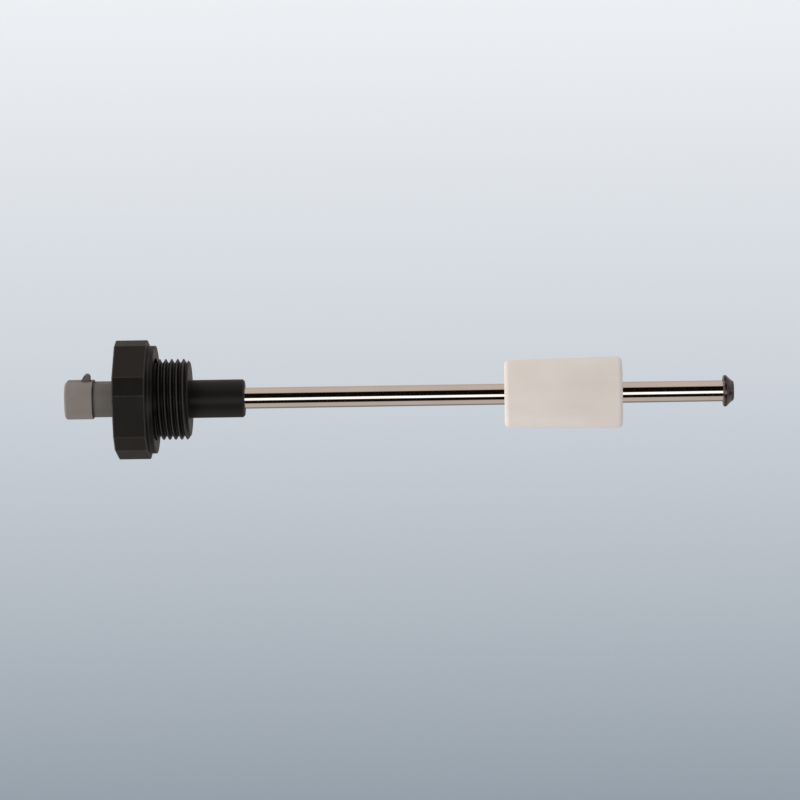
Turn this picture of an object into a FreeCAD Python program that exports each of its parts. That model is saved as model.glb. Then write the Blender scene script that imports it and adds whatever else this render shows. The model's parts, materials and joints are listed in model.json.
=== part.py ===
import FreeCAD, Part
import math
import os

# Fuel sending unit of the reed and float kind, which screws into the top of a tank.
# Millimetres. The stem's axis is Z and z = 0 is the sealing face under the gasket.
# The electrical socket points up, its lock nub faces +X, and the stem hangs down.

# Plug head
HEX_ACROSS_FLATS = 37.5
HEX_ACROSS_CORNERS = 39.6
HEX_HEIGHT = 10.9
HEX_EDGE_BEVEL = 0.3
HEX_CLOCKING = -9.3
FLANGE_DIAMETER = 36.0
FLANGE_THICKNESS = 0.9
COLLAR_DIAMETER = 12.7
COLLAR_END = 29.6
COLLAR_BEVEL = 0.6
WELL_DIAMETER = 24.0
WELL_FLOOR_THICKNESS = 1.6
POTTING_BELOW_RIM = 0.6

# Tank thread, metric M27 x 2
THREAD_DIAMETER = 27.0
THREAD_PITCH = 2.0
THREAD_REACH = 11.4
THREAD_END_CHAMFER = 1.1
THREAD_BITE = 0.12
THREAD_HALF_ANGLE = 30
THREAD_DEPTH_SHARE = 17 / 24
THREAD_CREST_SHARE = 1 / 8
RELIEF_LENGTH = 0.35

# Gasket
GASKET_DIAMETER = 36.0
GASKET_THICKNESS = 1.3
GASKET_CLEARANCE = 0.3

# Electrical socket
SOCKET_OFFSET = 0.4
SHROUD_DEPTH = 12.5
SHROUD_WIDTH = 15.4
SHROUD_CORNER = 5.0
SHROUD_WALL = 1.3
SHROUD_LENGTH = 9.2
SHROUD_EDGE_BEVEL = 0.5
SHROUD_STEP = 0.6
SOCKET_DEPTH = 11.2
NECK_LENGTH = 7.8
FOOT_FLANGE = 1.2
FOOT_THICKNESS = 2.0
FOOT_SINK = 5.0
NUB_HEIGHT = 2.25
NUB_LENGTH = 3.0
NUB_WIDTH = 4.2
NUB_FROM_STEP = 1.1
NUB_CREST_RADIUS = 1.1

# Terminals
BLADE_WIDTH = 1.5
BLADE_THICKNESS = 0.8
BLADE_SPACING = 6.8
BLADE_BELOW_MOUTH = 4.4
BLADE_TIP_TAPER = 0.25
BLADE_TIP_LENGTH = 0.9
BARREL_DIAMETER = 2.2
BARREL_LENGTH = 4.0
TERMINAL_CLEARANCE = 0.03

# Stem
STEM_DIAMETER = 7.0
STEM_WALL = 0.5
STEM_STOP = 188.75
STEM_PAST_STOP = 1.6
STEM_ABOVE_WELL_FLOOR = 2.4
STEM_CLEARANCE = 0.02
STEM_PLUG_THICKNESS = 1.5

# Retainer at the foot of the stem
CAP_DIAMETER = 10.5
CAP_LENGTH = 3.65
CAP_SHEET = 0.5
CAP_RIM_HEIGHT = 1.15
CAP_CROWN_DIAMETER = 4.6
CAP_CROWN_BEVEL = 0.5
CAP_LIP = 0.65
CAP_LIP_BEVEL = 0.6
WASHER_SHEET = 0.3
WASHER_CLEARANCE = 0.05
WASHER_SLOTS = 6
WASHER_SLOT_WIDTH = 0.5
WASHER_TEETH = 1.1

# Float
FLOAT_TOP_DIAMETER = 22.6
FLOAT_WIDENING = 1.4
FLOAT_LENGTH = 39.1
FLOAT_TOP_BELOW_SEAT = 116.2
FLOAT_STEM_CLEARANCE = 0.4
FLOAT_WALL = 1.0
FLOAT_END_WALL = 1.3
FLOAT_BORE_WALL = 1.0
FLOAT_EDGE_ROUNDING = 1.6
FLOAT_EDGE_FLATS = 3
LID_RIM = 2.2
LID_SPIGOT_HEIGHT = 3.0
LID_SPIGOT_WALL = 1.0
WELD_CLEARANCE = 0.02

# Magnet ring inside the float
MAGNET_DIAMETER = 14.0
MAGNET_HEIGHT = 6.0
MAGNET_RUNNING_CLEARANCE = 0.05
MAGNET_END_CLEARANCE = 0.3
MAGNET_LEDGE = 1.6
MAGNET_LEDGE_THICKNESS = 1.2

# Circuit strip inside the stem
BOARD_THICKNESS = 0.6
BOARD_OFFSET = 0.9
BOARD_CLEARANCE = 0.05
BOARD_ABOVE_PLUG = 2.0
BOARD_BELOW_STEM_TOP = 0.5
REED_COUNT = 8
REED_DIAMETER = 1.8
REED_GLASS_LENGTH = 8.0
REED_LEAD_SIZE = 0.4
REED_LEAD_LENGTH = 2.0
REED_STANDOFF = 0.2
RESISTOR_LENGTH = 2.0
RESISTOR_WIDTH = 1.25
RESISTOR_HEIGHT = 0.5

# Lead wires
LEAD_DIAMETER = 1.1
LEAD_LAP = 2.5
LEAD_BEND_SHARE = 0.25

# Places that follow from the sizes above
UP = FreeCAD.Vector(0, 0, 1)
CENTRE = FreeCAD.Vector(0, 0, 0)
flange_bottom = GASKET_THICKNESS
hex_bottom = flange_bottom + FLANGE_THICKNESS
hex_top = hex_bottom + HEX_HEIGHT
well_floor = flange_bottom + WELL_FLOOR_THICKNESS
potting_top = hex_top - POTTING_BELOW_RIM
thread_flank = math.tan(math.radians(THREAD_HALF_ANGLE))
thread_height = THREAD_PITCH / 2 / thread_flank
thread_depth = thread_height * THREAD_DEPTH_SHARE
thread_root_radius = THREAD_DIAMETER / 2 - thread_depth
stem_radius = STEM_DIAMETER / 2
stem_bore_radius = stem_radius - STEM_WALL
stem_top = well_floor + STEM_ABOVE_WELL_FLOOR
stem_bottom = -STEM_STOP - STEM_PAST_STOP
neck_top = hex_top + NECK_LENGTH
mouth_z = neck_top + SHROUD_LENGTH
socket_floor = mouth_z - SOCKET_DEPTH
foot_bottom = hex_top - FOOT_SINK
blade_tip = mouth_z - BLADE_BELOW_MOUTH
barrel_top = foot_bottom + BARREL_LENGTH
cap_bottom = -STEM_STOP - CAP_LENGTH
float_top = -FLOAT_TOP_BELOW_SEAT
float_bottom = float_top - FLOAT_LENGTH
float_middle = (float_top + float_bottom) / 2
float_bore_radius = stem_radius + FLOAT_STEM_CLEARANCE
float_tube_radius = float_bore_radius + FLOAT_BORE_WALL
float_cavity_radius = FLOAT_TOP_DIAMETER / 2 - FLOAT_WALL
lid_seam = float_bottom + LID_RIM
magnet_top = float_middle + MAGNET_HEIGHT / 2
magnet_bottom = float_middle - MAGNET_HEIGHT / 2
board_bottom = stem_bottom + STEM_PLUG_THICKNESS + BOARD_ABOVE_PLUG
board_top = stem_top - BOARD_BELOW_STEM_TOP
board_back = -BOARD_OFFSET
board_front = board_back + BOARD_THICKNESS
board_half_width = math.sqrt((stem_bore_radius - BOARD_CLEARANCE) ** 2 - BOARD_OFFSET ** 2)
highest_float_middle = -COLLAR_END - FLOAT_LENGTH / 2
lowest_float_middle = -STEM_STOP + FLOAT_LENGTH / 2
reed_pitch = (highest_float_middle - lowest_float_middle) / (REED_COUNT - 1)


def save(name, shape):
    shape.exportStep(os.path.join("parts", name + ".step"))


def cylinder(radius, bottom, top, x=0, y=0):
    return Part.makeCylinder(radius, top - bottom, FreeCAD.Vector(x, y, bottom))


def block(x_low, x_high, y_low, y_high, z_low, z_high):
    corner = FreeCAD.Vector(x_low, y_low, z_low)
    return Part.makeBox(x_high - x_low, y_high - y_low, z_high - z_low, corner)


def turned(profile):
    """Solid of revolution about the stem's axis from (radius, height) points."""
    points = [FreeCAD.Vector(radius, 0, height) for radius, height in profile]
    face = Part.Face(Part.makePolygon(points + points[:1]))
    return face.revolve(CENTRE, UP, 360)


def extruded(points, bottom, top):
    """Prism over (x, y) points."""
    corners = [FreeCAD.Vector(x, y, bottom) for x, y in points]
    face = Part.Face(Part.makePolygon(corners + corners[:1]))
    return face.extrude(UP * (top - bottom))


def rounded_bar(depth, width, corner, bottom, top):
    """Upright bar on the socket's axis, its section a rounded rectangle, depth along X."""
    x_low = SOCKET_OFFSET - depth / 2
    bar = block(x_low, x_low + depth, -width / 2, width / 2, bottom, top)
    upright = [edge for edge in bar.Edges if abs(edge.tangentAt(edge.FirstParameter).z) > 0.9]
    return bar.makeFillet(corner, upright)


def level_edges(shape, height):
    """All edges of a shape that lie in the plane at one height."""
    return [e for e in shape.Edges if abs(e.BoundBox.ZMin - height) + abs(e.BoundBox.ZMax - height) < 1e-4]


def bent_wire(points, radius):
    """Round wire along straight runs with sharp bends."""
    section = Part.Wire(Part.makeCircle(radius, points[0], points[1] - points[0]))
    mitred = 1
    return Part.makePolygon(points).makePipeShell([section], True, False, mitred)


def twelve_sided_block():
    """Hexagonal wrench block whose six corners are cut off by narrow faces."""
    inner = HEX_ACROSS_FLATS / 2
    outer = HEX_ACROSS_CORNERS / 2
    # A wide face and a narrow face meet at the radius where both flats reach the same point.
    swing = math.atan2(outer - inner * math.cos(math.pi / 6), inner * math.sin(math.pi / 6))
    radius = inner / math.cos(swing)
    half_narrow = math.pi / 6 - swing
    points = []
    for corner in range(6):
        middle = math.radians(HEX_CLOCKING) + corner * math.pi / 3
        for angle in (middle - half_narrow, middle + half_narrow):
            points.append((radius * math.cos(angle), radius * math.sin(angle)))
    prism = extruded(points, hex_bottom, hex_top)
    ends = level_edges(prism, hex_bottom) + level_edges(prism, hex_top)
    return prism.makeChamfer(HEX_EDGE_BEVEL, ends)


def threaded_shank():
    """Right-hand thread with a relief groove above it and a bevelled lower end."""
    major = THREAD_DIAMETER / 2
    sunk = thread_root_radius - THREAD_BITE
    proud = major + THREAD_BITE
    helix_bottom = -THREAD_REACH - THREAD_PITCH
    helix = Part.makeHelix(THREAD_PITCH, THREAD_REACH + THREAD_PITCH, major)
    helix.translate(UP * helix_bottom)
    crest_half = THREAD_PITCH * THREAD_CREST_SHARE / 2
    section = []
    for radius, side in ((sunk, -1), (major, -1), (major, 1), (sunk, 1)):
        half = crest_half + (major - radius) * thread_flank
        section.append(FreeCAD.Vector(radius, 0, helix_bottom + side * half))
    ridge = Part.Wire(helix).makePipeShell([Part.makePolygon(section + section[:1])], True, True)
    core = cylinder(thread_root_radius, -THREAD_REACH, flange_bottom)
    limits = turned([
        (0, -THREAD_REACH),
        (major - THREAD_END_CHAMFER, -THREAD_REACH),
        (proud, -THREAD_REACH + THREAD_END_CHAMFER + proud - major),
        (proud, -RELIEF_LENGTH),
        (0, -RELIEF_LENGTH),
    ])
    return core.fuse(ridge.common(limits))


def head_body():
    """One moulding: wrench block, flange, thread and the collar that grips the stem."""
    flange = cylinder(FLANGE_DIAMETER / 2, flange_bottom, hex_bottom)
    collar = turned([
        (0, -THREAD_REACH),
        (COLLAR_DIAMETER / 2, -THREAD_REACH),
        (COLLAR_DIAMETER / 2, -COLLAR_END + COLLAR_BEVEL),
        (COLLAR_DIAMETER / 2 - COLLAR_BEVEL, -COLLAR_END),
        (0, -COLLAR_END),
    ])
    body = twelve_sided_block().fuse([flange, threaded_shank(), collar]).removeSplitter()
    well = cylinder(WELL_DIAMETER / 2, well_floor, hex_top)
    stem_hole = cylinder(stem_radius + STEM_CLEARANCE, -COLLAR_END, well_floor)
    return body.cut(well.fuse(stem_hole))


def gasket():
    hole = cylinder(THREAD_DIAMETER / 2 + GASKET_CLEARANCE, 0, GASKET_THICKNESS)
    return cylinder(GASKET_DIAMETER / 2, 0, GASKET_THICKNESS).cut(hole)


def neck_bar(bottom, top, grow=0):
    """The neck's section, grown outwards all round by one amount."""
    inset = 2 * (grow - SHROUD_STEP)
    return rounded_bar(SHROUD_DEPTH + inset, SHROUD_WIDTH + inset, SHROUD_CORNER + inset / 2, bottom, top)


def lock_nub():
    """Hump on the shroud that a mating latch snaps over: a ramp in front, a round crest, steep behind."""
    side = -NUB_WIDTH / 2
    rear = neck_top + NUB_FROM_STEP
    toe = rear + NUB_LENGTH
    face = SOCKET_OFFSET + SHROUD_DEPTH / 2
    root = face - SHROUD_WALL / 2
    radius = NUB_CREST_RADIUS
    centre = FreeCAD.Vector(face + NUB_HEIGHT - radius, side, rear + radius)
    to_toe = FreeCAD.Vector(face, side, toe) - centre
    # The ramp leaves the round crest where its line touches the circle.
    ramp_angle = math.atan2(to_toe.z, to_toe.x) - math.acos(radius / to_toe.Length)
    crest_start = centre - UP * radius
    crest_top = centre + FreeCAD.Vector(radius, 0, 0)
    crest_end = centre + FreeCAD.Vector(math.cos(ramp_angle), 0, math.sin(ramp_angle)) * radius
    crest = Part.Arc(crest_start, crest_top, crest_end).toShape()
    corners = [crest_end]
    corners += [FreeCAD.Vector(x, side, z) for x, z in ((face, toe), (root, toe), (root, rear))]
    corners.append(crest_start)
    outline = Part.Face(Part.Wire([crest] + Part.makePolygon(corners).Edges))
    return outline.extrude(FreeCAD.Vector(0, NUB_WIDTH, 0))


def socket_outside():
    """The connector's outer form with no cavities: foot, neck, shroud and lock nub."""
    shroud = rounded_bar(SHROUD_DEPTH, SHROUD_WIDTH, SHROUD_CORNER, neck_top, mouth_z)
    shroud = shroud.makeChamfer(SHROUD_EDGE_BEVEL, level_edges(shroud, mouth_z))
    foot = neck_bar(foot_bottom, foot_bottom + FOOT_THICKNESS, FOOT_FLANGE)
    return shroud.fuse([neck_bar(foot_bottom, neck_top), foot, lock_nub()]).removeSplitter()


def terminal(side):
    """Male blade with a crimped barrel below it, on one side of the socket."""
    y = side * BLADE_SPACING / 2
    x_half = BLADE_WIDTH / 2
    y_half = BLADE_THICKNESS / 2
    shoulder = blade_tip - BLADE_TIP_LENGTH
    x = SOCKET_OFFSET
    blade = block(x - x_half, x + x_half, y - y_half, y + y_half, barrel_top, shoulder)
    barrel = cylinder(BARREL_DIAMETER / 2, foot_bottom, barrel_top, x, y)
    sections = []
    for inset, height in ((0, shoulder), (BLADE_TIP_TAPER, blade_tip)):
        corners = [
            FreeCAD.Vector(x + x_side * (x_half - inset), y + y_side * (y_half - inset), height)
            for x_side, y_side in ((-1, -1), (1, -1), (1, 1), (-1, 1))
        ]
        sections.append(Part.makePolygon(corners + corners[:1]))
    tip = Part.makeLoft(sections, True, True)
    wire_hole = cylinder(LEAD_DIAMETER / 2, foot_bottom, barrel_top - BLADE_THICKNESS, x, y)
    return blade.fuse([barrel, tip]).removeSplitter().cut(wire_hole)


def connector_housing():
    """Grey moulding: open shroud with a lock nub, solid neck and a foot in the potting."""
    hollow = rounded_bar(
        SHROUD_DEPTH - 2 * SHROUD_WALL,
        SHROUD_WIDTH - 2 * SHROUD_WALL,
        SHROUD_CORNER - SHROUD_WALL,
        socket_floor,
        mouth_z,
    )
    cavities = [hollow]
    x = SOCKET_OFFSET
    x_half = BLADE_WIDTH / 2 + TERMINAL_CLEARANCE
    y_half = BLADE_THICKNESS / 2 + TERMINAL_CLEARANCE
    barrel_radius = BARREL_DIAMETER / 2 + TERMINAL_CLEARANCE
    for y in (-BLADE_SPACING / 2, BLADE_SPACING / 2):
        cavities.append(block(x - x_half, x + x_half, y - y_half, y + y_half, barrel_top, socket_floor))
        cavities.append(cylinder(barrel_radius, foot_bottom, barrel_top, x, y))
    return socket_outside().cut(cavities)


def stem_tube():
    bore = cylinder(stem_bore_radius, stem_bottom, stem_top)
    return cylinder(stem_radius, stem_bottom, stem_top).cut(bore)


def stem_plug():
    """Disc welded into the foot of the tube to close it."""
    return cylinder(stem_bore_radius, stem_bottom, stem_bottom + STEM_PLUG_THICKNESS)


def retaining_cap():
    """Pressed sheet cap: bevelled lip, short rim, sloping shoulder and flat crown."""
    rim = CAP_DIAMETER / 2
    crown = CAP_CROWN_DIAMETER / 2
    shoulder = crown + CAP_CROWN_BEVEL
    shoulder_z = cap_bottom + CAP_CROWN_BEVEL
    top = -STEM_STOP
    rim_bottom = top - CAP_RIM_HEIGHT
    slope = math.atan2(rim_bottom - shoulder_z, rim - shoulder)
    # The inner line lies one sheet thickness inside the outer line and meets a sharp floor corner.
    rim_corner = CAP_SHEET * math.tan(math.pi / 4 - slope / 2)
    floor_radius = shoulder - CAP_CROWN_BEVEL / math.tan(slope) - CAP_SHEET * math.tan(slope / 2)
    return turned([
        (0, cap_bottom),
        (crown, cap_bottom),
        (shoulder, shoulder_z),
        (rim, rim_bottom),
        (rim, top - CAP_LIP_BEVEL),
        (rim - CAP_LIP_BEVEL, top),
        (rim - CAP_SHEET - CAP_LIP, top),
        (rim - CAP_SHEET - CAP_LIP, top - CAP_SHEET),
        (rim - CAP_SHEET, top - CAP_SHEET),
        (rim - CAP_SHEET, rim_bottom + rim_corner),
        (floor_radius, cap_bottom + CAP_SHEET),
        (0, cap_bottom + CAP_SHEET),
    ])


def star_washer():
    """Spring washer inside the cap, with teeth that bite on the tube."""
    top = -STEM_STOP - CAP_SHEET - WASHER_CLEARANCE
    outer = CAP_DIAMETER / 2 - CAP_SHEET - WASHER_CLEARANCE
    inner = stem_radius + STEM_CLEARANCE
    washer = cylinder(outer, top - WASHER_SHEET, top).cut(cylinder(inner, top - WASHER_SHEET, top))
    reach = stem_radius + WASHER_TEETH
    half = WASHER_SLOT_WIDTH / 2
    slots = []
    for number in range(WASHER_SLOTS):
        slot = block(0, reach, -half, half, top - WASHER_SHEET, top)
        slot.rotate(CENTRE, UP, number * 360 / WASHER_SLOTS)
        slots.append(slot)
    return washer.cut(slots)


def float_radius(height):
    """Outside radius of the float, which widens downwards by its moulding draft."""
    share = (float_top - height) / FLOAT_LENGTH
    return (FLOAT_TOP_DIAMETER + share * FLOAT_WIDENING) / 2


def eased_corner(height, toward):
    """Float profile points that round an end's outer corner with a few flats, side first."""
    size = FLOAT_EDGE_ROUNDING
    side = float_radius(height - toward * size)
    points = []
    for step in range(FLOAT_EDGE_FLATS + 1):
        angle = step * math.pi / 2 / FLOAT_EDGE_FLATS
        inward = size * (1 - math.cos(angle))
        short = size * (1 - math.sin(angle))
        points.append((side - inward, height - toward * short))
    return points


def float_body():
    """Upper moulding of the float: cup, centre tube and the ledge over the magnet."""
    ceiling = float_top - FLOAT_END_WALL
    ledge_bottom = magnet_top + MAGNET_END_CLEARANCE
    ledge_top = ledge_bottom + MAGNET_LEDGE_THICKNESS
    outline = [(float_bore_radius, float_top)]
    outline += reversed(eased_corner(float_top, 1))
    outline += [
        (float_radius(lid_seam), lid_seam),
        (float_cavity_radius, lid_seam),
        (float_cavity_radius, ceiling),
        (float_tube_radius, ceiling),
        (float_tube_radius, ledge_top),
        (float_tube_radius + MAGNET_LEDGE, ledge_top),
        (float_tube_radius + MAGNET_LEDGE, ledge_bottom),
        (float_tube_radius, ledge_bottom),
        (float_tube_radius, float_bottom),
        (float_bore_radius, float_bottom),
    ]
    return turned(outline)


def float_lid():
    """Lower moulding, welded on: disc, locating spigot and the sleeve under the magnet."""
    hole = float_tube_radius + WELD_CLEARANCE
    sleeve_top = magnet_bottom - MAGNET_END_CLEARANCE
    spigot = float_cavity_radius - WELD_CLEARANCE
    spigot_top = lid_seam + LID_SPIGOT_HEIGHT
    floor = float_bottom + FLOAT_END_WALL
    outline = [(hole, float_bottom)]
    outline += reversed(eased_corner(float_bottom, -1))
    outline += [
        (float_radius(lid_seam), lid_seam),
        (spigot, lid_seam),
        (spigot, spigot_top),
        (spigot - LID_SPIGOT_WALL, spigot_top),
        (spigot - LID_SPIGOT_WALL, floor),
        (float_tube_radius + MAGNET_LEDGE, floor),
        (float_tube_radius + MAGNET_LEDGE, sleeve_top),
        (hole, sleeve_top),
    ]
    return turned(outline)


def float_magnet():
    hole = float_tube_radius + MAGNET_RUNNING_CLEARANCE
    ring = cylinder(MAGNET_DIAMETER / 2, magnet_bottom, magnet_top)
    return ring.cut(cylinder(hole, magnet_bottom, magnet_top))


def circuit_board():
    return block(board_back, board_front, -board_half_width, board_half_width, board_bottom, board_top)


def reed_switch(number):
    """Sealed glass capsule whose flat leads are bent down to the board."""
    middle = highest_float_middle - number * reed_pitch
    x = board_front + REED_STANDOFF + REED_DIAMETER / 2
    half = REED_GLASS_LENGTH / 2
    lead = REED_LEAD_SIZE / 2
    reach = half + REED_LEAD_LENGTH
    glass = cylinder(REED_DIAMETER / 2, middle - half, middle + half, x, 0)
    leads = [block(x - lead, x + lead, -lead, lead, middle - reach, middle + reach)]
    for end in (middle - reach, middle + reach - REED_LEAD_SIZE):
        leads.append(block(board_front, x, -lead, lead, end, end + REED_LEAD_SIZE))
    return glass.fuse(leads).removeSplitter()


def resistor(number):
    """Chip resistor on the back of the board, opposite one reed switch."""
    middle = highest_float_middle - number * reed_pitch
    half_length = RESISTOR_LENGTH / 2
    half_width = RESISTOR_WIDTH / 2
    return block(
        board_back - RESISTOR_HEIGHT,
        board_back,
        -half_width,
        half_width,
        middle - half_length,
        middle + half_length,
    )


def lead_wire(side):
    """Insulated wire from the top of the board to one terminal."""
    radius = LEAD_DIAMETER / 2
    pad_x = board_front + radius
    pad_y = side * (board_half_width - 2 * radius)
    end_y = side * BLADE_SPACING / 2
    bend = (foot_bottom - board_top) * LEAD_BEND_SHARE
    points = [
        FreeCAD.Vector(pad_x, pad_y, board_top - LEAD_LAP),
        FreeCAD.Vector(pad_x, pad_y, board_top + bend),
        FreeCAD.Vector(SOCKET_OFFSET, end_y, foot_bottom - bend),
        FreeCAD.Vector(SOCKET_OFFSET, end_y, barrel_top - BLADE_THICKNESS),
    ]
    return bent_wire(points, radius)


def potting(leads):
    """Resin that fills the well round the stem's top, the wires and the connector's foot."""
    fill = cylinder(WELL_DIAMETER / 2, well_floor, potting_top)
    socket_space = neck_bar(foot_bottom, potting_top).fuse(
        neck_bar(foot_bottom, foot_bottom + FOOT_THICKNESS, FOOT_FLANGE)
    )
    return fill.cut([socket_space, cylinder(stem_radius, well_floor, stem_top)] + leads)


def main():
    os.makedirs("parts", exist_ok=True)
    sides = {"left": -1, "right": 1}
    leads = {name: lead_wire(side) for name, side in sides.items()}
    save("head_body", head_body())
    save("gasket", gasket())
    save("connector_housing", connector_housing())
    for name, side in sides.items():
        save("terminal_" + name, terminal(side))
        save("lead_wire_" + name, leads[name])
    save("potting", potting(list(leads.values())))
    save("stem_tube", stem_tube())
    save("stem_plug", stem_plug())
    save("retaining_cap", retaining_cap())
    save("star_washer", star_washer())
    save("float_body", float_body())
    save("float_lid", float_lid())
    save("float_magnet", float_magnet())
    save("circuit_board", circuit_board())
    for number in range(REED_COUNT):
        save("reed_switch_%d" % (number + 1), reed_switch(number))
        save("resistor_%d" % (number + 1), resistor(number))


main()
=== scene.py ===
import json
import math

import bmesh
import bpy
from mathutils import Matrix, Vector


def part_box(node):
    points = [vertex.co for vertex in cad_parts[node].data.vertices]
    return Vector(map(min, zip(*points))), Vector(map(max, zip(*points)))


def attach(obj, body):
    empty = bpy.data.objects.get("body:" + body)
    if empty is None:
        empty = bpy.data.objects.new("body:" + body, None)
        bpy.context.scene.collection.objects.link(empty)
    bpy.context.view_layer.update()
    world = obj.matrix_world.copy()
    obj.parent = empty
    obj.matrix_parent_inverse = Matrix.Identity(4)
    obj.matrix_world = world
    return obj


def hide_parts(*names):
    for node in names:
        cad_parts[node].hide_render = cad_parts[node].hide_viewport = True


# Looks of the fuel sending unit. Metres, in the same frame as the solids: the stem's axis
# is Z, z = 0 is the sealing face, and the socket's lock nub faces +X.
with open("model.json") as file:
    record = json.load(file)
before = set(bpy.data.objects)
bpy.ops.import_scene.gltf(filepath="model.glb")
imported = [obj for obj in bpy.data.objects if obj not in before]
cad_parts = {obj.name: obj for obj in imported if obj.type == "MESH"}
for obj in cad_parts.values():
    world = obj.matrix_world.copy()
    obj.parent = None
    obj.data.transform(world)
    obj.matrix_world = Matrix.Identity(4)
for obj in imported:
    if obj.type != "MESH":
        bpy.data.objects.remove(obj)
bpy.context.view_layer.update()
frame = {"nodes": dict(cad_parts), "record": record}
nodes = frame["nodes"]

MM = 0.001

# Camera, worked out from the photograph: the stem lies across it, foot to the right, and
# the picture's upward direction is close to +X. Pixels are in its 800 x 800 frame.
PHOTO_SIZE = 800
SCALE_PX_PER_MM = 3.0
DISTANCE_MM = 1280.0
SENSOR_MM = 36.0
CENTRE_BELOW_SEAT_MM = 81.38
AXIS_ABOVE_CENTRE_PX = 4.2
ROLL_DEG = 0.895
YAW_DEG = 1.66
SWING_DEG = 8.0
CLIP_NEAR = 0.01
CLIP_FAR = 50

# Places in millimetres: the step between the connector's shroud and its neck, how far out the
# nub's painted shade starts, and the lower end of the tank thread. The painted edge highlight,
# which also stands for wear, fades out over twice the last of them.
SHROUD_REAR = 20.9
NUB_ROOT = 6.65
THREAD_END = -11.4
WEAR_AND_HIGHLIGHT_FADE = 0.6

# Turned pieces, in millimetres
LATHE_STEPS = 144
ARC_STEPS = 8
SHARP_RAD = math.radians(35)
MERGE_DISTANCE = 1e-7
FLOAT_WIDENING = 1.4
FLOAT_ROUNDING = 1.6
FLOAT_BORE = 3.9
FLOAT_BORE_ROUNDING = 0.25
CAP_MOUTH_INSET = 1.15
CAP_RIM_HEIGHT = 1.1
CAP_SHEET = 0.5

# Shader nodes
BEVEL_SAMPLES = 6
OCCLUSION_SAMPLES = 8
# Colour of painted shade in corners and under the connector shroud's step
PAINTED_SHADE = (0.022, 0.018, 0.018)

# Backdrop: a soft fade across the picture, plain and pale everywhere else
SKY_TOP = (0.85, 0.87, 0.90)
SKY_MIDDLE = (0.60, 0.64, 0.69)
SKY_BOTTOM = (0.30, 0.35, 0.40)
SKY_ELSEWHERE = (0.66, 0.69, 0.73)
SKY_REACH = PHOTO_SIZE / 2 / (SCALE_PX_PER_MM * DISTANCE_MM)
FADE_SHARE = [(-0.98, 0), (-0.90, 1)]
FLOOR_BELOW = 0.5
FLOOR_RADIUS = 1.35
FLOOR_SEGMENTS = 96

# Degrees round the stem from the camera's side toward the picture's top, and the light there
# that polished and satin surfaces mirror
PALE = (0.60, 0.51, 0.46)
WARM = (0.52, 0.46, 0.415)
BEHIND_ABOVE = (0.50, 0.45, 0.43)
BEHIND_BELOW = (0.22, 0.20, 0.19)
DARK = (0.004, 0.002, 0.001)
STRIP = (1.5, 1.45, 1.40)
LIGHT_BANDS = [
    (-180, BEHIND_BELOW),
    (-130, BEHIND_BELOW),
    (-115, WARM),
    (-66, WARM),
    (-58, DARK),
    (-30, DARK),
    (-22, STRIP),
    (-6, STRIP),
    (2, DARK),
    (49, DARK),
    (58, PALE),
    (118, PALE),
    (133, BEHIND_ABOVE),
    (180, BEHIND_ABOVE),
]
# Toward the stem's two ends the bands fade to these. The first number of each pair is the share
# of a direction that runs along the stem, from -1 at the foot's end to 1 at the head's.
HEAD_END = (1.3, 1.26, 1.22)
FOOT_END = (0.6, 0.585, 0.57)
END_LIGHTS = [(-1, FOOT_END), (0, FOOT_END), (0.01, HEAD_END), (1, HEAD_END)]
END_SHARE = [(-1, 0.75), (-0.5, 0.75), (-0.22, 0), (0.22, 0), (0.5, 0.75), (1, 0.75)]
# The soft light that shades matt surfaces, over the same share
SOFT_HEAD = (1.5, 1.46, 1.42)
SOFT_RING = (0.90, 0.87, 0.84)
SOFT_FOOT = (0.6, 0.585, 0.57)
SOFT_LIGHT = [
    (-1, SOFT_FOOT),
    (-0.5, SOFT_FOOT),
    (-0.22, SOFT_RING),
    (0.22, SOFT_RING),
    (0.5, SOFT_HEAD),
    (1, SOFT_HEAD),
]

SWING = math.radians(SWING_DEG)
TO_CAMERA = Vector((math.sin(SWING), -math.cos(SWING), 0))
PICTURE_UP = Vector((math.cos(SWING), math.sin(SWING), 0))
HEADWARD = Vector((0, 0, 1))


def add_camera():
    roll = math.radians(ROLL_DEG)
    yaw = math.radians(YAW_DEG)
    level = -HEADWARD * math.cos(yaw) - TO_CAMERA * math.sin(yaw)
    back = TO_CAMERA * math.cos(yaw) - HEADWARD * math.sin(yaw)
    right = level * math.cos(roll) - PICTURE_UP * math.sin(roll)
    up = level * math.sin(roll) + PICTURE_UP * math.cos(roll)
    below_axis = AXIS_ABOVE_CENTRE_PX / SCALE_PX_PER_MM
    target = -HEADWARD * (CENTRE_BELOW_SEAT_MM * MM) - up * (below_axis * MM)
    place = target + back * (DISTANCE_MM * MM)
    data = bpy.data.cameras.new("photo_camera")
    data.sensor_width = SENSOR_MM
    data.lens = SCALE_PX_PER_MM * DISTANCE_MM / PHOTO_SIZE * SENSOR_MM
    data.clip_start = CLIP_NEAR
    data.clip_end = CLIP_FAR
    camera = bpy.data.objects.new("photo_camera", data)
    camera.matrix_world = Matrix((
        (right.x, up.x, back.x, place.x),
        (right.y, up.y, back.y, place.y),
        (right.z, up.z, back.z, place.z),
        (0, 0, 0, 1),
    ))
    bpy.context.scene.collection.objects.link(camera)
    bpy.context.scene.camera = camera


def opaque(value):
    """Grey or colour as a colour with alpha; a node's output stays as it is."""
    if isinstance(value, bpy.types.NodeSocket):
        return value
    return (*(value if isinstance(value, tuple) else (value,) * 3), 1)


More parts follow.
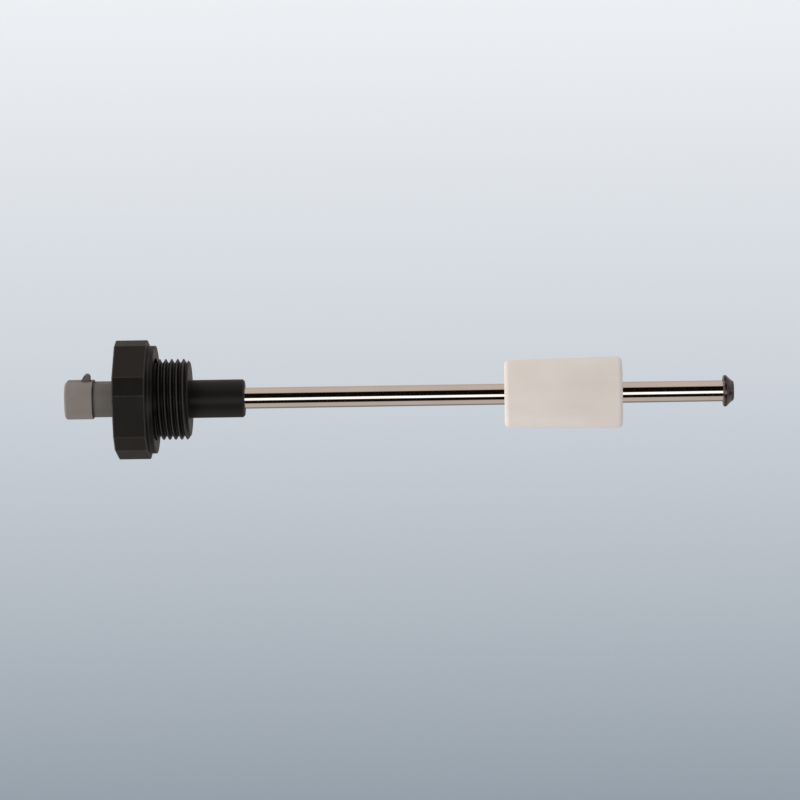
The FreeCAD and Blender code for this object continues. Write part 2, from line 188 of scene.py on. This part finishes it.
class Tree:
    """A node tree, with short ways to add nodes to it."""

    def __init__(self, tree):
        self.nodes = tree.nodes
        self.links = tree.links

    def add(self, kind, inputs=(), **settings):
        """New node. Inputs are (socket, value) pairs, and a value may be another's output."""
        node = self.nodes.new("ShaderNode" + kind)
        for setting, value in settings.items():
            setattr(node, setting, value)
        for socket, value in inputs:
            if isinstance(value, bpy.types.NodeSocket):
                self.links.new(value, node.inputs[socket])
            else:
                node.inputs[socket].default_value = value
        return node

    def ramp(self, factor, stops, interpolation="LINEAR"):
        """Colour ramp over (position, value) stops, where a value is a grey or a colour."""
        node = self.add("ValToRGB", [("Fac", factor)])
        node.color_ramp.interpolation = interpolation
        elements = node.color_ramp.elements
        while len(elements) < len(stops):
            elements.new(0.5)
        for element, (position, value) in zip(elements, stops):
            element.position = position
            element.color = opaque(value)
        return node.outputs["Color"]

    def span(self, value, low, high):
        """Share of the way of a value from low to high."""
        inputs = [("Value", value), ("From Min", low), ("From Max", high)]
        return self.add("MapRange", inputs).outputs["Result"]

    def mix(self, share, first, second):
        """Colour mix; each colour is an output or a plain colour."""
        # The node's float, vector and colour sockets share their names, so they go by number.
        inputs = [(0, share), (6, opaque(first)), (7, opaque(second))]
        return self.add("Mix", inputs, data_type="RGBA").outputs[2]

    def times(self, first, second):
        inputs = [(0, first), (1, second)]
        return self.add("Math", inputs, operation="MULTIPLY").outputs["Value"]

    def dot(self, first, second):
        inputs = [(0, first), (1, second)]
        return self.add("VectorMath", inputs, operation="DOT_PRODUCT").outputs["Value"]

    def seen_by(self, rays, shader, otherwise):
        """One shader for some rays, another for the rest."""
        ray = self.add("LightPath").outputs[rays]
        inputs = [("Fac", ray), (1, otherwise), (2, shader)]
        return self.add("MixShader", inputs).outputs["Shader"]


class Shader(Tree):
    """A material with a Principled shader."""

    def __init__(self, name, **settings):
        self.material = bpy.data.materials.new(name)
        self.material.use_nodes = True
        super().__init__(self.material.node_tree)
        self.principled = self.nodes["Principled BSDF"]
        for socket, value in settings.items():
            self.principled.inputs[socket.replace("_", " ")].default_value = value
        self.coordinates = self.add("TexCoord").outputs["Object"]

    def noise(self, size, detail=3, stretch=(1, 1, 1)):
        """Noise whose features are about one size across, in metres."""
        scale = [share / size for share in stretch]
        mapping = self.add("Mapping", [("Vector", self.coordinates), ("Scale", scale)])
        inputs = [("Vector", mapping.outputs["Vector"]), ("Scale", 1), ("Detail", detail)]
        return self.add("TexNoise", inputs).outputs["Fac"]

    def mottled(self, size, low, high, detail=3):
        """Two close values that wander into each other over patches of one size."""
        return self.ramp(self.noise(size, detail), [(0.3, low), (0.7, high)])

    def place(self, axis):
        """Place along one axis of the frame, in metres; Z runs up the stem."""
        return self.add("SeparateXYZ", [("Vector", self.coordinates)]).outputs[axis]

    def open_share(self, reach):
        """1 on open surfaces, less in corners and grooves that are narrower than the reach."""
        inputs = [("Distance", reach)]
        return self.add("AmbientOcclusion", inputs, samples=OCCLUSION_SAMPLES).outputs["AO"]

    def rounded_normal(self, radius):
        return self.add("Bevel", [("Radius", radius)], samples=BEVEL_SAMPLES).outputs["Normal"]

    def edge_wear_and_highlight(self, radius, full=0.93):
        """1 on outer edges, 0 on faces and in corners: where edges get painted highlight and
        wear. Full is the cosine of a fully lit bend.
        """
        surface = self.add("NewGeometry").outputs["Normal"]
        bend = self.dot(self.rounded_normal(radius), surface)
        bent = self.ramp(bend, [(full, 1), (0.998, 0)])
        outer = self.ramp(self.open_share(radius * 2), [(0.80, 0), (0.97, 1)])
        return self.times(bent, outer)

    def finish(self, colour, roughness):
        self.links.new(colour, self.principled.inputs["Base Color"])
        self.links.new(roughness, self.principled.inputs["Roughness"])

    def bump(self, factor, height, strength, rounding=None):
        """Fine relief of one height, over edges that are rounded by one radius."""
        inputs = [("Height", factor), ("Distance", height), ("Strength", strength)]
        if rounding:
            inputs.append(("Normal", self.rounded_normal(rounding)))
        relief = self.add("Bump", inputs).outputs["Normal"]
        self.links.new(relief, self.principled.inputs["Normal"])


def black_nylon():
    shader = Shader("black_nylon", IOR=1.5, Specular_IOR_Level=0.25)
    plain = shader.mottled(0.012, (0.0042, 0.0034, 0.0029), (0.0064, 0.0052, 0.0045), detail=4)
    # Painted edge highlight, which also stands for wear, on the wrench block and the thread, not
    # on the collar below them.
    above_collar = shader.span(
        shader.place("Z"), (THREAD_END - WEAR_AND_HIGHLIGHT_FADE) * MM, (THREAD_END + WEAR_AND_HIGHLIGHT_FADE) * MM,
    )
    lit_worn_edges = shader.times(shader.edge_wear_and_highlight(0.00035, full=0.975), above_collar)
    colour = shader.mix(lit_worn_edges, plain, (0.052, 0.045, 0.042))
    shader.finish(colour, shader.mottled(0.004, 0.40, 0.48))
    shader.bump(shader.noise(0.0004), height=0.00001, strength=0.5, rounding=0.00025)
    return shader.material


def seal_rubber():
    shader = Shader("seal_rubber", IOR=1.5, Specular_IOR_Level=0.26)
    plain = shader.mottled(0.006, (0.0012, 0.0010, 0.0014), (0.0022, 0.0019, 0.0026))
    # Painted highlight along the gasket's outer edges, which also stands for wear.
    colour = shader.mix(shader.edge_wear_and_highlight(0.0003), plain, (0.024, 0.020, 0.020))
    shader.finish(colour, shader.mottled(0.002, 0.38, 0.5))
    shader.bump(shader.noise(0.0003), height=0.00001, strength=0.6, rounding=0.0003)
    return shader.material


def grey_nylon():
    shader = Shader("grey_nylon", IOR=1.5)
    pale = shader.mottled(0.010, (0.178, 0.156, 0.142), (0.218, 0.192, 0.176), detail=4)
    dull = shader.mottled(0.006, (0.098, 0.089, 0.082), (0.122, 0.112, 0.102), detail=4)
    # The neck is darker than the shroud, with painted shade in its corners and a painted shadow
    # under the shroud's step.
    height = shader.place("Z")
    neck = shader.span(height, SHROUD_REAR * MM, (SHROUD_REAR - 0.05) * MM)
    toned = shader.mix(neck, pale, dull)
    # Painted shade in corners and grooves.
    corner_shaded = shader.mix(shader.open_share(0.0014), PAINTED_SHADE, toned)
    # Painted shadow in a band just under the shroud's step.
    step_shadow = shader.ramp(
        shader.span(height, (SHROUD_REAR - 1.0) * MM, SHROUD_REAR * MM),
        [(0, 0), (0.5, 0.75), (0.97, 0.9), (1, 0)],
    )
    step_shaded = shader.mix(step_shadow, corner_shaded, PAINTED_SHADE)
    # Painted shade on the lock nub.
    nub = shader.span(shader.place("X"), (NUB_ROOT - 0.1) * MM, (NUB_ROOT + 0.1) * MM)
    shaded = shader.mix(nub, step_shaded, (0.10, 0.085, 0.08))
    # Painted highlight along outer edges, such as the shroud's rear rim, which also stands for
    # wear.
    colour = shader.mix(shader.edge_wear_and_highlight(0.0003), shaded, (0.27, 0.235, 0.225))
    shader.finish(colour, shader.mottled(0.003, 0.5, 0.6))
    shader.bump(shader.noise(0.0003), height=0.00001, strength=0.5, rounding=0.00025)
    return shader.material


def stainless(name, low, high):
    shader = Shader(name, Metallic=1)
    drawn_lines = shader.noise(0.0012, detail=5, stretch=(3, 3, 0.05))
    roughness = shader.ramp(drawn_lines, [(0.3, 0.035), (0.7, 0.055)])
    shader.finish(shader.mottled(0.02, low, high), roughness)
    shader.bump(drawn_lines, height=0.000002, strength=0.15)
    return shader.material


def dark_spring_steel():
    shader = Shader("dark_spring_steel", Metallic=1)
    colour = shader.ramp(
        shader.noise(0.0016, detail=4),
        [(0.35, (0.035, 0.029, 0.028)), (0.65, (0.145, 0.122, 0.12))],
    )
    shader.finish(colour, shader.mottled(0.001, 0.12, 0.24))
    shader.bump(shader.noise(0.0004), height=0.00001, strength=0.4, rounding=0.0002)
    return shader.material


def float_plastic():
    shader = Shader(
        "float_plastic", IOR=1.49, Sheen_Weight=0.12,
        Subsurface_Weight=0.35, Subsurface_Scale=0.0025, Subsurface_Radius=(1.0, 0.75, 0.6),
    )
    milky = shader.mottled(0.015, (0.645, 0.59, 0.55), (0.685, 0.635, 0.595))
    # Painted highlight on the float's rounded rims.
    colour = shader.mix(shader.edge_wear_and_highlight(0.0012, full=0.90), milky, (0.76, 0.685, 0.625))
    shader.finish(colour, shader.mottled(0.004, 0.40, 0.5))
    shader.bump(shader.noise(0.0006), height=0.000012, strength=0.4, rounding=0.0004)
    return shader.material


def plain_grain(name, low, high, rough, metallic):
    """Small inner pieces: two close colours, mottled, with a fine grain."""
    shader = Shader(name, Metallic=metallic)
    shader.finish(shader.mottled(0.002, low, high), shader.mottled(0.001, rough, rough + 0.1))
    shader.bump(shader.noise(0.0003), height=0.000008, strength=0.4)
    return shader.material


def make_materials():
    """One finish for each material slot of the record."""
    finishes = {
        "black_nylon": black_nylon(),
        "seal_rubber": seal_rubber(),
        "grey_nylon": grey_nylon(),
        "stainless_tube": stainless("stainless_tube", (0.80, 0.755, 0.71), (0.86, 0.82, 0.78)),
        "stainless_plug": stainless("stainless_plug", (0.62, 0.60, 0.58), (0.70, 0.68, 0.66)),
        "dark_spring_steel": dark_spring_steel(),
        "float_plastic": float_plastic(),
    }
    # Slot, the two colours that it wanders between, its roughness and how metallic it is
    for slot, low, high, rough, metallic in (
        ("terminal_brass", (0.62, 0.60, 0.56), (0.72, 0.70, 0.66), 0.22, 1),
        ("wire_insulation", (0.35, 0.03, 0.025), (0.42, 0.04, 0.03), 0.4, 0),
        ("potting_resin", (0.010, 0.010, 0.011), (0.014, 0.014, 0.015), 0.2, 0),
        ("board_laminate", (0.02, 0.13, 0.04), (0.03, 0.17, 0.055), 0.35, 0),
        ("reed_glass", (0.30, 0.45, 0.34), (0.36, 0.52, 0.40), 0.08, 0),
        ("chip_ceramic", (0.012, 0.012, 0.014), (0.02, 0.02, 0.022), 0.4, 0),
        ("ferrite", (0.035, 0.035, 0.038), (0.055, 0.055, 0.06), 0.55, 0),
    ):
        finishes[slot] = plain_grain(slot, low, high, rough, metallic)
    return finishes


def dress_nodes():
    """Give every solid the material of its slot."""
    for part in frame["record"]["subparts"]:
        mesh = nodes[part["node"]].data
        mesh.materials.clear()
        mesh.materials.append(materials[part["material_slot"]])


def rounded(corners):
    """Profile points from (radius, height, rounding) corners in millimetres, arcs in steps."""
    points = []
    for index, (radius, height, rounding) in enumerate(corners):
        corner = Vector((radius, height))
        if not rounding:
            points.append(corner)
            continue
        before = (Vector(corners[index - 1][:2]) - corner).normalized()
        after = (Vector(corners[(index + 1) % len(corners)][:2]) - corner).normalized()
        half = before.angle(after) / 2
        centre = corner + (before + after).normalized() * (rounding / math.sin(half))
        start = corner + before * (rounding / math.tan(half)) - centre
        sweep = start.angle_signed(corner + after * (rounding / math.tan(half)) - centre)
        for step in range(ARC_STEPS + 1):
            turn = Matrix.Rotation(-sweep * step / ARC_STEPS, 2)
            points.append(centre + turn @ start)
    return points


def add_object(name, shape):
    """Scene object from a bmesh, which is freed."""
    mesh = bpy.data.meshes.new(name)
    shape.to_mesh(mesh)
    shape.free()
    piece = bpy.data.objects.new(name, mesh)
    bpy.context.scene.collection.objects.link(piece)
    return piece


def lathe(name, points, closed):
    """Turned piece about the stem's axis; rings where its profile bends sharply stay crisp."""
    shape = bmesh.new()
    profile = [shape.verts.new((point.x * MM, 0, point.y * MM)) for point in points]
    following = profile[1:] + profile[:1] if closed else profile[1:]
    edges = [shape.edges.new(pair) for pair in zip(profile, following)]
    bmesh.ops.spin(
        shape, geom=profile + edges, cent=(0, 0, 0), axis=(0, 0, 1),
        angle=2 * math.pi, steps=LATHE_STEPS, use_merge=True,
    )
    bmesh.ops.remove_doubles(shape, verts=shape.verts, dist=MERGE_DISTANCE)
    bmesh.ops.recalc_face_normals(shape, faces=shape.faces)
    for face in shape.faces:
        face.smooth = True
    for edge in shape.edges:
        if len(edge.link_faces) == 2 and edge.calc_face_angle(0) > SHARP_RAD:
            edge.smooth = False
    return add_object(name, shape)


def dress_piece(piece, slot, body, *replaced):
    """Finish a piece that stands for solids of one body."""
    piece.data.materials.append(materials[slot])
    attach(piece, body)
    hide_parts(*replaced)


def add_float():
    """The float's outside in one skin, with its soft moulded edges, over its two mouldings."""
    low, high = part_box("float_body")
    bottom, top = low[2] / MM, high[2] / MM
    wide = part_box("float_lid")[1][0] / MM
    narrow = wide - FLOAT_WIDENING / 2
    profile = rounded([
        (FLOAT_BORE, top, FLOAT_BORE_ROUNDING),
        (narrow, top, FLOAT_ROUNDING),
        (wide, bottom, FLOAT_ROUNDING),
        (FLOAT_BORE, bottom, FLOAT_BORE_ROUNDING),
    ])
    piece = lathe("float_skin", profile, closed=True)
    dress_piece(piece, "float_plastic", "float", "float_body", "float_lid")


def add_cap():
    """The pressed cap at the foot of the stem, domed below its rolled rim."""
    low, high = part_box("retaining_cap")
    bottom, top = low[2] / MM, high[2] / MM
    rim = high[0] / MM
    mouth = rim - CAP_MOUTH_INSET
    below_rim = top - CAP_RIM_HEIGHT
    outside = rounded([
        (mouth, top, 0),
        (rim, top, 0.7),
        (rim, below_rim, 0.35),
        (rim - 1.55, bottom + 1.0, 1.6),
        (rim - 2.2, bottom, 0.8),
        (0, bottom, 0),
    ])
    inside = [Vector(point) for point in (
        (0, bottom + CAP_SHEET),
        (rim - 3.1, bottom + CAP_SHEET),
        (rim - CAP_SHEET, below_rim),
        (rim - CAP_SHEET, top - CAP_SHEET),
        (mouth, top - CAP_SHEET),
        (mouth, top),
    )]
    piece = lathe("cap_skin", outside + inside, closed=False)
    dress_piece(piece, "dark_spring_steel", "sender", "retaining_cap")


class World(Tree):
    """The studio surround, as nodes over the direction of each ray."""

    def __init__(self):
        world = bpy.data.worlds.new("studio")
        world.use_nodes = True
        super().__init__(world.node_tree)
        self.nodes.clear()
        self.direction = self.add("TexCoord").outputs["Generated"]
        bpy.context.scene.world = world

    def along(self, axis):
        return self.dot(self.direction, axis)

    def scale(self, value, low, high, stops, interpolation="LINEAR"):
        """Ramp over a value that runs from low to high, with its stops given in that value."""
        shares = [((position - low) / (high - low), stop) for position, stop in stops]
        return self.ramp(self.span(value, low, high), shares, interpolation)

    def turn(self, level, upward):
        """Degrees from the level direction toward the upward one."""
        angle = self.add("Math", [(0, upward), (1, level)], operation="ARCTAN2").outputs["Value"]
        return self.add("Math", [(0, angle)], operation="DEGREES").outputs["Value"]

    def background(self, colour):
        return self.add("Background", [("Color", colour)]).outputs["Background"]


def add_world():
    """Studio surround: bands to mirror, a soft light for matt surfaces, and a plain backdrop."""
    world = World()
    upward = world.along(PICTURE_UP)
    toward = world.along(TO_CAMERA)
    headward = world.along(HEADWARD)
    bands = world.scale(world.turn(toward, upward), -180, 180, LIGHT_BANDS, "EASE")
    ends = world.scale(headward, -1, 1, END_LIGHTS)
    mirrored = world.mix(world.scale(headward, -1, 1, END_SHARE, "EASE"), bands, ends)
    soft = world.scale(headward, -1, 1, SOFT_LIGHT)
    fade = world.scale(upward, -SKY_REACH, SKY_REACH, [
        (-SKY_REACH, SKY_BOTTOM), (0, SKY_MIDDLE), (SKY_REACH, SKY_TOP),
    ])
    backdrop = world.mix(world.scale(toward, -1, 1, FADE_SHARE, "EASE"), fade, SKY_ELSEWHERE)
    light = world.seen_by("Is Glossy Ray", world.background(mirrored), world.background(soft))
    surround = world.seen_by("Is Camera Ray", world.background(backdrop), light)
    world.add("OutputWorld", [("Surface", surround)])


def add_floor():
    """Pale floor, which the steel doesn't mirror."""
    shape = bmesh.new()
    bmesh.ops.create_circle(
        shape, cap_ends=True, radius=FLOOR_RADIUS, segments=FLOOR_SEGMENTS,
    )
    floor = add_object("floor", shape)
    floor.location = (0, 0, -FLOOR_BELOW)
    shader = Shader("floor", Roughness=0.8)
    tone = shader.mottled(0.2, (0.435, 0.465, 0.50), (0.44, 0.47, 0.505))
    shader.links.new(tone, shader.principled.inputs["Base Color"])
    clear = shader.add("BsdfTransparent").outputs["BSDF"]
    surface = shader.seen_by("Is Glossy Ray", clear, shader.principled.outputs["BSDF"])
    shader.links.new(surface, shader.nodes["Material Output"].inputs["Surface"])
    floor.data.materials.append(shader.material)


add_camera()
add_world()
add_floor()
materials = make_materials()
dress_nodes()
add_float()
add_cap()
bpy.context.scene.view_settings.view_transform = "Standard"
